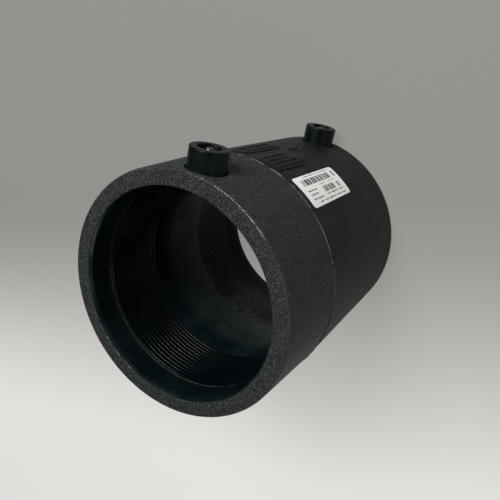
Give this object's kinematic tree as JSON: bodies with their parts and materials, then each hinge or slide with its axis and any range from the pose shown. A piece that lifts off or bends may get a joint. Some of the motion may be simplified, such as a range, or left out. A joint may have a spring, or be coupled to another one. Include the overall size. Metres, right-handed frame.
{
  "type": "electrofusion coupler",
  "caption": "Electrofusion coupler for plastic pipe: a thick black sleeve with ribbed heating windings in the bore and round terminal shrouds on its side.",
  "frame": {"origin": "centre of the bore, on the axis, midway between the two end faces", "axes": "+Z along the bore towards the upper end face, -Y towards the terminals"},
  "size_m": [0.1336, 0.1427, 0.155],
  "materials": {
    "body_plastic": "spark-eroded matte black",
    "winding_plastic": "smooth black wire coating",
    "shroud_plastic": "smooth semi-gloss black",
    "contact_metal": "tinned",
    "indicator_plastic": "smooth black",
    "label_paper": "coated white"
  },
  "bodies": {
    "root": {"coupler_body": "body_plastic", "winding_upper": "winding_plastic", "winding_lower": "winding_plastic", "link_wire": "winding_plastic", "terminal_shroud_upper": "shroud_plastic", "terminal_shroud_lower": "shroud_plastic", "terminal_pin_upper": "contact_metal", "terminal_pin_lower": "contact_metal", "fusion_indicator_upper": "indicator_plastic", "fusion_indicator_lower": "indicator_plastic", "barcode_label": "label_paper"}
  },
  "joints": []
}
